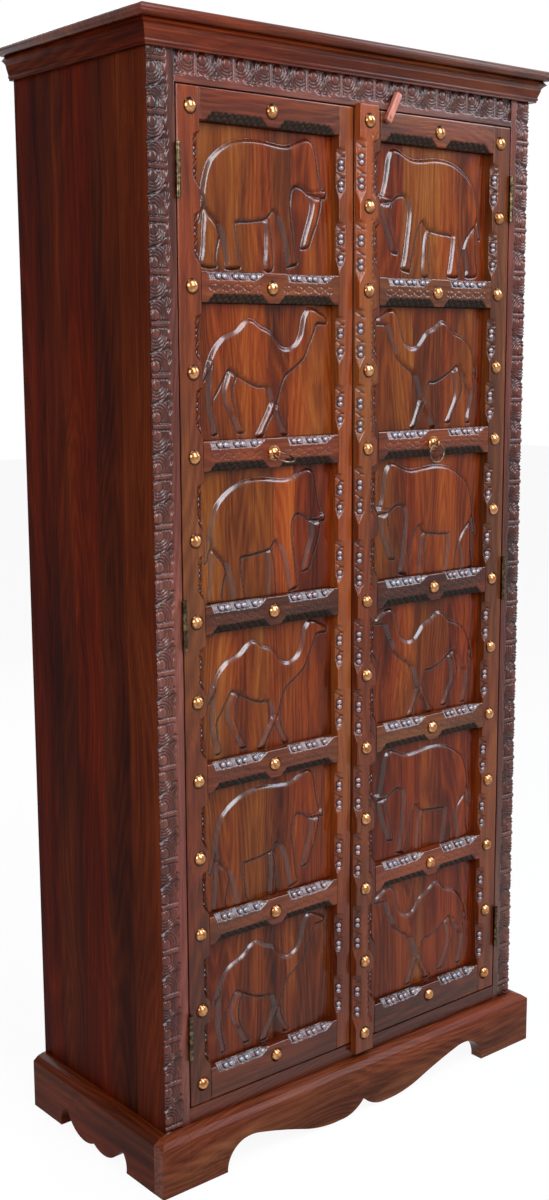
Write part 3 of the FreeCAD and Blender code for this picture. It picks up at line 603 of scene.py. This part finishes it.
camel = {
    "body": (3.6, [(20, 100), (21, 88), (27, 75), (33, 66), (40, 58), (50, 50), (60, 46), (72, 42),
        (80, 37), (90, 28), (100, 23), (108, 23), (115, 26), (125, 33), (138, 38), (147, 43), (153, 50),
        (160, 58), (168, 65), (180, 67), (190, 63), (198, 56), (204, 45), (207, 32), (210, 20), (216, 10),
        (224, 4), (236, 5), (246, 10), (258, 16), (264, 22), (262, 29), (250, 30), (241, 31), (238, 38),
        (234, 47), (229, 57), (223, 67), (218, 79), (210, 88), (200, 95), (190, 102), (181, 107),
        (174, 114), (169, 123), (165, 134), (162, 144), (157, 156), (150, 163), (144, 152), (141, 140),
        (135, 128), (120, 127), (105, 122), (90, 115), (78, 108), (66, 101), (60, 103), (50, 118),
        (40, 134), (32, 146), (33, 160), (35, 175), (40, 190), (39, 198), (29, 198), (28, 184), (22, 165),
        (19, 148), (20, 130), (22, 118)]),
    "tail": (2.4, [(21, 86), (13, 115), (18, 113), (28, 92)]),
    "farHindLeg": (2.8, [(63, 102), (58, 110), (53, 122), (50, 135), (52, 146), (58, 157), (66, 171),
        (74, 186), (80, 197), (93, 196), (88, 186), (80, 172), (73, 158), (70, 146), (70, 133), (73, 120),
        (77, 109)]),
    "foreLeg": (3.4, [(146, 150), (138, 163), (130, 177), (122, 190), (115, 203), (130, 204), (134, 194),
        (141, 182), (149, 171), (157, 157)]),
    "farForeLeg": (2.8, [(150, 161), (160, 156), (166, 172), (173, 188), (181, 202), (168, 203),
        (163, 190), (156, 175)]),
}
# in mm: a figure's edge rises by slope, flat and then rounded, behind a groove that is deepest where its edge
# faces lean, right and down, away from the light; painted shade darkens the groove and that bevel most there
relief = {"front": 0.018, "thick": 0.010, "step": 0.00138, "lift": 1.25, "slope": 7.4,
          "flat": (0.7, 1.16), "crown": (0.812, 0.188, 0.4), "reach": 4, "lean": (0.62, 0.78),
          "grooveWidth": 1.25, "groove": 1.1, "toolRipple": 0.16}
doorPanels = {"left": (-0.316, -0.042), "right": (0.048, 0.316)}   # left and right edge of the panels
# low and high edge of each row of panels
rows = [(1.441, 1.656), (1.189, 1.395), (0.937, 1.143), (0.685, 0.891), (0.433, 0.639), (0.176, 0.387)]
placing = {  # stretch across, shift across and shift down of each figure
    ("left", 0): (1.0, 0, 0), ("left", 1): (1.0, 0, 0), ("left", 2): (0.97, 7, -1),
    ("left", 3): (1.0, 0, 0), ("left", 4): (0.95, 9, -2), ("left", 5): (0.97, 4, 2),
    ("right", 0): (0.97, 8, 0), ("right", 1): (0.98, 2, 0), ("right", 2): (0.97, 8, 0),
    ("right", 3): (0.98, 2, 2), ("right", 4): (0.96, 8, 0), ("right", 5): (0.95, 4, 2),
}


def figureRise(x, z, left, right, high, side, row):
    across, down = x - left * 1000, high * 1000 - z
    lean = np.array(relief["lean"])
    if side == "right":
        across = (right - left) * 1000 - across
        lean[0] = -lean[0]
    stretch, *shift = placing[side, row]
    places = np.stack([across, down], 1)
    rise, groove, shade = np.zeros((3, len(x)))
    flat, flatRise = relief["flat"]
    foot, crown, crownWidth = relief["crown"]
    for tall, outline in (elephant if row % 2 == 0 else camel).values():
        line = rounded(outline) * (stretch, 1.0) + shift
        inner, facing = np.full(len(x), -20.0), np.zeros(len(x))
        near = within(places, line.min(0) - relief["reach"], line.max(0) + relief["reach"]).all(1)
        inner[near], away = depthInside(places[near], line)
        facing[near] = away @ lean
        share = np.clip(inner / relief["slope"], 0, flat + crownWidth)
        bevel = np.where(share < flat, share * flatRise,
                         foot + crown * np.sin((share - flat) / crownWidth * math.pi / 2))
        taller = tall * relief["lift"] * bevel > rise
        rise = np.maximum(rise, tall * relief["lift"] * bevel)
        cut = bell(inner, -0.5, relief["grooveWidth"])
        groove = np.maximum(groove, cut * (0.8 + 0.3 * facing))
        # painted shade: the groove, and the bevel of edges facing away from the light, are darkened
        edgeShade = cut * (0.62 + 0.38 * facing)
        edgeShade = edgeShade + 0.45 * clipped(facing) * (inner > 0) * clipped(1.4 - 2 * share)
        shade = np.where(taller, edgeShade, np.maximum(shade, edgeShade))
    ripple = np.sin(across / 9 + np.sin(down / 23) * 2) * np.sin(down / 13 + across / 41)
    rise = rise + relief["toolRipple"] * ripple - relief["groove"] * groove
    return rise, clipped(shade)


# boards of each panel from its left edge: end as a share of the width, tone, hue
panelBoards = {
    ("left", 0): [(0.53, 0.01, 0.10), (0.68, -0.07, 0.0), (1.0, -0.01, -0.12)],
    ("left", 1): [(0.50, 0.0, 0.05), (0.66, -0.06, -0.02), (1.0, -0.01, -0.12)],
    ("left", 2): [(0.54, 0.035, 0.10), (0.70, 0.0, 0.0), (1.0, -0.025, -0.08)],
    ("left", 3): [(0.50, 0.0, 0.10), (1.0, -0.05, -0.03)],
    ("left", 4): [(0.52, -0.02, 0.07), (1.0, -0.045, -0.04)],
    ("left", 5): [(0.45, -0.01, 0.03), (0.62, -0.08, 0.0), (1.0, -0.03, -0.06)],
    ("right", 0): [(0.24, -0.04, -0.02), (0.72, 0.03, 0.06), (1.0, -0.025, -0.10)],
    ("right", 1): [(0.35, -0.01, 0.0), (0.60, -0.06, -0.03), (1.0, -0.025, -0.06)],
    ("right", 2): [(0.30, -0.03, 0.04), (0.75, 0.03, -0.05), (1.0, -0.035, -0.08)],
    ("right", 3): [(0.40, -0.02, 0.05), (0.70, -0.05, -0.02), (1.0, -0.02, -0.05)],
    ("right", 4): [(0.45, -0.06, -0.02), (1.0, -0.01, -0.05)],
    ("right", 5): [(0.50, -0.025, 0.0), (1.0, -0.055, -0.03)],
}


# faces turned up and left, towards the lamps, which get the painted sheen
def facesUp(face):
    return 0.8 * face.normal.z - 0.6 * face.normal.x > 0.06 and -0.95 < face.normal.y < -0.3


def makePanels():
    front = doorY + relief["front"]
    back = front + relief["thick"]
    for side, (left, right) in doorPanels.items():
        for kind, first in (("elephant", 0), ("camel", 1)):
            meshes = []
            for row in range(first, len(rows), 2):
                bottom, top = rows[row]
                meshes.append(carvedBoard((left, front, bottom), (right, back, top), relief["step"],
                                          lambda x, z: figureRise(x, z, left, right, top, side, row)))
                markBoards(meshes[-1], left, right, panelBoards[side, row])
            mesh = gather(side + kind.capitalize() + "Carvings", meshes, side + "_door",
                          "panel", side + "_door_" + kind + "_panels")
            refinish(mesh, "panelSheenEdge", facesUp)
    print("panels carved")


# carved face frame, in mm: lobes with a bud and rings round it, between grooved stems
border = {"pitch": 74.3, "topPitch": 71.2, "band": 37.0, "depth": 3.6, "deepest": 6.5, "step": 0.00145,
          "stems": {"left": 1734.0, "right": 1680.0, "top": 35.0}, "slant": 0.42, "topSlant": -0.2,
          "lobe": (13.0, 8.0), "lobeRise": 2.9, "lobeEnd": (-27, 3), "bud": (7.0, 9.5, 1.3), "rings": 4.7,
          "scallop": (5, 18), "rim": (-3.0, 2.0), "valley": 6.2, "finger": (5.2, 1.2), "stem": 4.2,
          "groove": (4.6, 1.15), "notch": (24, 5.0), "shade": (1.2, 4.2)}


# row of leaf scrolls: along the board, and out from its outer edge
def scrollRise(along, out, pitch, start, slant):
    half = pitch / 2
    shift = (along - start + half) % pitch - half
    side = np.abs(shift)
    reach = np.hypot(side - border["lobe"][0], out - border["lobe"][1])
    bud, roundness, tall = border["bud"]
    rings = 0.45 + 0.55 * np.cos((reach - bud) / border["rings"] * 2 * math.pi)
    lobe = np.where(reach < bud, np.sqrt(clipped(1 - (reach / roundness) ** 2)) * tall, rings)
    rise = border["lobeRise"] * (lobe * fade(-reach, *border["lobeEnd"])) - border["depth"]
    wide = border["band"] - 3.5 - 4.0 * fade(side, *border["scallop"])
    narrow = border["band"] - 1.0 - 4.5 * fade(half - side, 0, 10) ** 1.5
    rise = rise * (1 - fade(out - np.maximum(wide, narrow), *border["rim"]))
    lean = shift - slant * (out - 12)
    across = half - np.abs((lean + half) % pitch - half)
    cut = clipped(1 - across / np.maximum(6.5 - 0.22 * out, 0.6)) * (out < 27)
    rise = np.minimum(rise, -border["valley"] * cut * np.clip((27 - out) / 10, 0.2, 1))
    rise = rise - 1.5 * bell(across, *border["finger"]) * within(out, 21, 33)
    stem = clipped(1 - (side / border["stem"]) ** 2) * (out < 33)
    rise = np.maximum(rise, -1.6 + 1.4 * stem - 4 * (stem <= 0))
    rise = rise - 2.3 * (bell(side, *border["groove"]) * (out < 30))
    tilt = 0.35 * np.abs(side - border["notch"][0])
    rise = rise - 3.4 * (bell(side, *border["notch"]) * bell(out + tilt, 32, 1.6))
    rise = np.clip(rise, -border["deepest"], 0.0)
    carved = out <= border["band"]
    # painted shade: the deeper the carving, the darker its colour
    return rise * carved, fade(-rise, *border["shade"]) * carved


def makeBorders():
    for side, sign in (("left", -1), ("right", 1)):
        node = "face_stile_" + side
        low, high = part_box(node)
        outer = (low.x if sign < 0 else high.x) * 1000
        mesh = carvedBoard(low, high, border["step"], lambda x, z: scrollRise(
            z, (outer - x) * sign, border["pitch"], border["stems"][side], border["slant"]))
        mesh = gather(side + "FrameCarving", [mesh], "cabinet", "carved", node)
        # the outer wall is as dull as the side beside it
        refinish(mesh, "side", lambda face: face.normal.x * sign > 0.9)
    low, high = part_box("face_rail_top")
    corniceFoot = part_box("cornice_front")[0].z * 1000
    mesh = carvedBoard(low, high, border["step"], lambda x, z: scrollRise(
        x, corniceFoot - z, border["topPitch"], border["stems"]["top"], border["topSlant"]))
    gather("topFrameCarving", [mesh], "cabinet", "carvedLevel", "face_rail_top")
    print("frame carved")


# door boards with stopped and beaded chamfers, in mm
chamfer = {"width": 13.0, "least": 0.02, "step": 0.00145,
           "railDepth": (8.0, 8.0, 8.6, 9.5, 10.5, 11.5, 12.0)}
# stops: plain lengths at the start, before the middle, after it and at the end; later: shift of later beads
chamfers = {
    "stile": {"stops": (16.0, 8.0, 22.0, 5.0), "depth": 8.0, "kind": "leaf",
              "beads": (24.5, 33.0, 57.0, 65.5)},
    "cover": {"stops": (26.0, 3.0, 20.0, 10.0), "depth": 10.0, "kind": "leaf",
              "beads": (29.0, 38.5, 66.0, 76.0)},
    "left": {"stops": (11.0, 14.0, 28.0, 8.0), "kind": "lens", "later": -6,
             "beads": (23, 34, 56, 67, 90, 101)},
    "right": {"stops": (18.0, 14.0, 28.0, 6.0), "kind": "lens", "later": -6,
              "beads": (23, 34, 53, 64, 84, 95)},
    "under": {"stops": (10.0, 7.0, 12.0, 8.0), "depth": 8.0, "ends": (13.0, 13.0), "kind": "under"},
}
beading = {"leaf": 4.5, "lens": 5.2, "height": 3.6, "farSink": 4.2, "seat": (-1.35, 0.3)}
chips = {"lean": (1.1, 0.8), "pitch": (13.0, 10.5), "depth": 2.4, "proud": 0.9}
leaf = {"place": 12.0, "lean": 0.9, "width": 1.3, "depth": 2.0, "half": 5.5}
chain = {"wave": 44.0, "tall": 5.0, "depth": 1.4, "width": 1.5, "ends": (14, 20), "coverEnds": (9, 16)}
worn = {"edge": 0.7, "wave": 0.12, "flat": 0.3}   # flat: where less than this is cut
rails = [(1.656, 1.702), (1.395, 1.441), (1.143, 1.189), (0.891, 0.937), (0.639, 0.685), (0.387, 0.433),
         (0.123, 0.176)]
boardTones = {"left_hinge_stile": -0.01, "left_meeting_stile": 0.065, "right_meeting_stile": 0.0,
              "right_hinge_stile": -0.02, "astragal": 0.05,
              "rails": (0.01, -0.02, 0.01, -0.03, 0.0, -0.035, -0.01)}
middleStud = {"left": -179.0, "right": 184.0}
coverStuds = (1682.0, 1418.0, 1164.0, 910.0, 657.0, 406.0, 140.0)


def chipCut(inward, along, cut, inside):
    wave = (along + inward * chips["lean"][0] + 2.0 * np.sin(along / 19)) / chips["pitch"][0]
    other = (along - inward * chips["lean"][1]) / chips["pitch"][1]
    hole = 1 - np.minimum(np.abs(np.sin(wave * math.pi)), np.abs(np.sin(other * math.pi)))
    cut = cut + np.where(inside, chips["depth"] * hole ** 2 - chips["proud"], 0)
    # painted shade over the whole under chamfer, darkest in the chips
    return cut, inside * (0.62 + 0.38 * hole)


def leafCut(middle, along, inside, beads):
    cut, hollowShade = np.zeros((2, len(along)))
    for place in (leaf["place"], (beads[1] + beads[2]) / 2):
        stroke = bell(along - place, middle * leaf["lean"], leaf["width"]) * (np.abs(middle) < leaf["half"])
        lobe = np.exp(-(along - place + middle * 0.6 - 5) ** 2 / 1.6) * within(middle, -1, 5)
        cut = cut + np.where(inside, leaf["depth"] * stroke + lobe, 0)
        # painted shade in the leaf strokes
        hollowShade = np.maximum(hollowShade, clipped(stroke + lobe) * inside)
    return cut, hollowShade


# depth cut by one stopped chamfer, inward from the edge and along it; and how much shade is painted there
def chamferCut(inward, along, length, depth, ends, beads, kind):
    width = chamfer["width"]
    plane = np.minimum(along / ends[0], (length - along) / ends[1]) - inward / width
    cut = np.clip(np.minimum(1 - inward / width, plane), 0, None) * depth
    inside = cut > chamfer["least"]
    if kind == "under":
        cut, hollowShade = chipCut(inward, along, cut, inside)
        return np.clip(cut, 0, None), hollowShade
    middle = inward - width / 2
    hollowShade = np.zeros(len(inward))
    cut = cut + inside * (0.35 * np.sin(along * 1.15 + middle) * np.sin(middle * 0.9 - along * 0.4) + 0.2)
    # painted shade in a dark ring round the seat of each bead
    for place in beads:
        seat = fade(-np.hypot(middle, along - place) / beading[kind], *beading["seat"])
        cut = cut + np.where(inside, 1.2 * seat, 0)
        hollowShade = np.maximum(hollowShade, 0.65 * seat * inside)
    if kind == "leaf":
        more, hole = leafCut(middle, along, inside, beads)
    else:
        # painted shade over the whole chamfer, darkest along the lens line
        lens = bell(np.abs(middle), 4.6, 1.0)
        more, hole = np.where(inside, 0.7 * lens, 0), (0.3 + 0.4 * lens) * inside
    return np.clip(cut + more, 0, None), np.maximum(hollowShade, hole)


def oneBead(radius):
    bm = bmesh.new()
    size = Matrix.Diagonal((radius / 1000, radius / 1000, beading["height"] / 1000, 1))
    bmesh.ops.create_uvsphere(bm, u_segments=10, v_segments=8, radius=1, matrix=size)
    return meshOf(bm, "bead")


# one flattened bead sunk in the chamfer
def addBead(bm, bead, place, outward, lengthwise):
    turn = Matrix((outward.cross(lengthwise), lengthwise, outward)).transposed().to_4x4()
    move = Matrix.Translation(place) @ turn
    bead.transform(move)
    bm.from_mesh(bead)
    bead.transform(move.inverted())


# beads in the chamfers of one board, whose front is at front
def beadsAlong(bm, front, cuts):
    stileBead, railBead = oneBead(beading["leaf"]), oneBead(beading["lens"])
    half = chamfer["width"] / 2
    for edge, into, start, length, across, depth, ends, beads, kind in cuts:
        y = front + depth / 2000
        for place in beads:
            if across:
                spot = Vector(((start + place) / 1000, y, (edge + into * half) / 1000))
                outward = Vector((0, -chamfer["width"], -into * depth)).normalized()
                addBead(bm, railBead, spot, outward, Vector((1, 0, 0)))
            else:
                spot = Vector(((edge + into * half) / 1000, y, (start - place) / 1000))
                outward = Vector((-into * depth, -chamfer["width"], 0)).normalized()
                if into < 0:   # beads of the edges that face right are cut lower
                    spot = spot - outward * beading["farSink"] / 1000
                addBead(bm, stileBead, spot, outward, Vector((0, 0, 1)))
    bpy.data.meshes.remove(stileBead)
    bpy.data.meshes.remove(railBead)


def beadPiece(name, bm, body):
    for face in bm.faces:
        face.smooth = True
    linked(name, meshOf(bm, name), body, finishes["bead"])


# two crossing waves cut along a board, with a heart between them
def chainCut(along, across):
    turn = along / chain["wave"] * 2 * math.pi
    slope = chain["tall"] * 2 * math.pi / chain["wave"]
    cut = np.zeros(len(along))
    for sign in (-1, 1):
        gap = np.abs(across - sign * chain["tall"] * np.sin(turn)) / np.sqrt(1 + (slope * np.cos(turn)) ** 2)
        cut = np.maximum(cut, bell(gap, 0, chain["width"]) * (0.65 + 0.35 * np.sin(along * 0.9 + sign * 2)))
    heart = np.exp(-((along / chain["wave"] * 2 + 0.5) % 1 - 0.5) ** 2 * 60) * bell(across, 0, 1.8)
    return np.maximum(cut, 0.9 * heart)


# the front of a door board; cuts: edge, way in from it, start, length, whether it runs across, depth, ends,
# places of the beads, kind; chains: first, last, middle, whether it runs across
def boardRise(x, z, left, right, low, high, cuts, chains):
    deepest, hollowShade = np.zeros((2, len(x)))
    for edge, into, start, length, across, depth, ends, beads, kind in cuts:
        inward = ((z if across else x) - edge) * into
        along = x - start if across else start - z
        near = (inward >= -0.01) & (inward < chamfer["width"] + 1) & within(along, -1, length + 1)
        cut, hole = chamferCut(inward[near], along[near], length, depth, ends, beads, kind)
        deepest[near] = np.maximum(deepest[near], cut)
        hollowShade[near] = np.maximum(hollowShade[near], hole)
    for first, last, middle, across in chains:
        along, aside = (x, z - middle) if across else (z, x - middle)
        cut = chainCut(along - first, aside) * within(along, first, last)
        deepest = np.maximum(deepest, cut * chain["depth"] * (deepest < worn["flat"]))
        # painted shade along the engraved chain
        hollowShade = np.maximum(hollowShade, 0.4 * cut)
    rim = np.minimum(z - low, high - z)
    if right - left < high - low:
        rim = np.minimum(rim, np.minimum(x - left, right - x))
    edge = np.clip(worn["edge"] - rim, 0, worn["edge"])
    wave = worn["wave"] * np.sin(x / 17 + z / 61) * np.sin(z / 37 - x / 29)
    return -np.maximum(deepest, edge) + wave * (deepest < worn["flat"]), hollowShade


# one board of a door between two corners in mm, from front to back in metres
def doorBoard(left, right, low, high, back, cuts, chains=(), tone=0.0):
    mesh = carvedBoard((left / 1000, doorY, low / 1000), (right / 1000, back, high / 1000), chamfer["step"],
                       lambda x, z: boardRise(x, z, left, right, low, high, cuts, chains))
    markBoards(mesh, left, right, [(1.0, tone, 0.0)])
    return mesh


# the two chamfers of one length, on each side of its middle; rails run up from first, stiles down
def pairCuts(edge, into, first, last, middle, stops, depth, kind, ends=(5.0, 20.0), beads=(), later=0):
    sign = 1 if last > first else -1
    spans = ((first + sign * stops[0], middle - sign * stops[1]),
             (middle + sign * stops[2], last - sign * stops[3]))
    return [(edge, into, start, sign * (end - start), sign > 0, depth, ends,
             [place + more for place in beads], kind) for (start, end), more in zip(spans, (0, later))]


def stileCuts(edge, into):
    cuts = []
    for low, high in rows:
        cuts += pairCuts(edge, into, high * 1000, low * 1000, (low + high) * 500, **chamfers["stile"])
    return cuts


def railCuts(side, left, right, low, high, number):
    cuts = []
    if number > 0:
        cuts += pairCuts(high, -1, left, right, middleStud[side], depth=chamfer["railDepth"][number],
                         **chamfers[side])
    if number < len(rails) - 1:
        cuts += pairCuts(low, 1, left, right, middleStud[side], **chamfers["under"])
    return cuts


# faces that face right, away from the lamps, get a duller copy: a painted shade of the sheen
def dull(mesh):
    refinish(mesh, "farChamfer", lambda face: face.normal.x > 0.2)


def makeStiles(side, left, right, back, beads):
    for node in (side + "_hinge_stile", side + "_meeting_stile"):
        low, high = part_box(node)
        cuts = stileCuts(left, -1) if low.x * 1000 < left - 1 else stileCuts(right, 1)
        mesh = doorBoard(low.x * 1000, high.x * 1000, low.z * 1000, high.z * 1000, back, cuts,
                         tone=boardTones[node])
        beadsAlong(beads, doorY, cuts)
        dull(gather(titled(node) + "Board", [mesh], side + "_door", "door", node))


def makeRails(side, left, right, back, beads):
    inset, clear = chain["ends"]
    meshes = []
    for number, (low, high) in enumerate(rails):
        low, high = low * 1000, high * 1000
        cuts = railCuts(side, left, right, low, high, number)
        chains = []
        if 0 < number < len(rails) - 1:
            chains = [(left + inset, middleStud[side] - clear, (low + high) / 2, True),
                      (middleStud[side] + clear, right - inset, (low + high) / 2, True)]
        meshes.append(doorBoard(left, right, low, high, back, cuts, chains, boardTones["rails"][number]))
        beadsAlong(beads, doorY, cuts)
    mesh = gather(side + "DoorRailBoards", meshes, side + "_door", "doorLevel",
                  side + "_door_rails")
    hollowShade = mesh.attributes["hollowShade"].data
    # painted shade: the chip carved chamfers that face down get a near black copy of the wood; painted sheen:
    # those that face up get more specular
    refinish(mesh, "underShade", lambda face: face.normal.z < -0.15
             and min(hollowShade[corner].value for corner in face.vertices) > 0.5)
    refinish(mesh, "railChamfer", lambda face: 0.3 < face.normal.z < 0.95)


def makeCover():
    low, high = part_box("astragal")
    left, right = low.x * 1000, high.x * 1000
    inset, clear = chain["coverEnds"]
    cuts = []
    chains = []
    for upper, lower in zip(coverStuds, coverStuds[1:]):
        middle = (upper + lower) / 2
        sides = [pairCuts(edge, into, upper, lower, middle, **chamfers["cover"])
                 for edge, into in ((left, 1), (right, -1))]
        cuts += [cut for both in zip(*sides) for cut in both]
        chains += [(start + clear, end - clear, right - inset, False)
                   for start, end in ((middle, upper), (lower, middle))]
    mesh = carvedBoard((left / 1000, low.y, low.z), (right / 1000, high.y, high.z), chamfer["step"],
                       lambda x, z: boardRise(x, z, left, right, low.z * 1000, high.z * 1000, cuts, chains))
    markBoards(mesh, left, right, [(1.0, boardTones["astragal"], 0.0)])
    dull(gather("astragalBoard", [mesh], "right_door", "door", "astragal"))
    beads = bmesh.new()
    beadsAlong(beads, low.y, cuts)
    beadPiece("astragalBeads", beads, "right_door")


def makeDoorBoards():
    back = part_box("left_hinge_stile")[1].y
    for side, (left, right) in doorPanels.items():
        beads = bmesh.new()
        makeStiles(side, left * 1000, right * 1000, back, beads)
        makeRails(side, left * 1000, right * 1000, back, beads)
        beadPiece(side + "DoorBeads", beads, side + "_door")
    makeCover()
    print("door boards carved")


# domed studs, in mm: radius and height of the profile, and where they sit
stud = {"profile": [(0.0, 8.0), (2.4, 7.75), (4.8, 6.95), (7.0, 5.65), (8.8, 4.0), (10.0, 2.3), (10.6, 1.2),
                    (11.6, 0.9), (12.0, 0.4), (12.0, -0.3)], "sides": 28, "shade": (-3.4, 2.4),
        "outer": {"left": -333, "right": 333}, "cover": 11.5, "top": 1673.5, "topMiddle": 1679.0,
        "bottom": 156.0}
ringRow = 2   # the ring pulls take the middle stud's place on this rail


def addStud(bm, x, y, z):
    verts = [bm.verts.new((x + radius / 1000, y - height / 1000, z)) for radius, height in stud["profile"]]
    edges = [bm.edges.new(pair) for pair in zip(verts, verts[1:])]
    bmesh.ops.spin(bm, geom=verts + edges, cent=(x, y, z), axis=(0, 1, 0), angle=2 * math.pi,
                   steps=stud["sides"], use_merge=True)


def studPlaces(side):
    edge = stud["outer"][side]
    places = []
    levels = [stud["top"], *((low + high) * 500 for low, high in rails[1:-1]), stud["bottom"]]
    for number, z in enumerate(levels):
        places.append((edge, z))
        if number != ringRow:
            places.append((middleStud[side], stud["topMiddle"] if number == 0 else z))
    for number, (low, high) in enumerate(rows):
        if side == "right" or number > 0:
            places.append((edge, (low + high) * 500))
    return places


def coverPlaces():
    places = []
    for number, z in enumerate(coverStuds):
        places.append((stud["cover"], z))
        if number < len(coverStuds) - 1 and number != ringRow:
            places.append((stud["cover"], (z + coverStuds[number + 1]) / 2))
    return places


def makeStuds():
    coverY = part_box("astragal")[0].y
    for node, body, y, places in (("left_door_studs", "left_door", doorY, studPlaces("left")),
                                  ("right_door_studs", "right_door", doorY, studPlaces("right")),
                                  ("astragal_studs", "right_door", coverY, coverPlaces())):
        bm = bmesh.new()
        for x, z in places:
            addStud(bm, x / 1000, y, z / 1000)
        bmesh.ops.remove_doubles(bm, verts=bm.verts, dist=same)
        bmesh.ops.recalc_face_normals(bm, faces=bm.faces)
        for face in bm.faces:
            face.smooth = True
        mesh = meshOf(bm, titled(node) + "Domes")
        # patina and painted shade: darker towards the foot of each dome
        keep(mesh, "hollowShade", fade((pointsOf(mesh)[:, 1] - y) * 1000, *stud["shade"]))
        made = linked(mesh.name, mesh, body, finishes["stud"])
        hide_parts(node)
    print("studs set")


makeCamera()
makeFloor()
makeWorld()
makeLamps()
finishNodes()
makePanels()
makeBorders()
makeDoorBoards()
makeStuds()
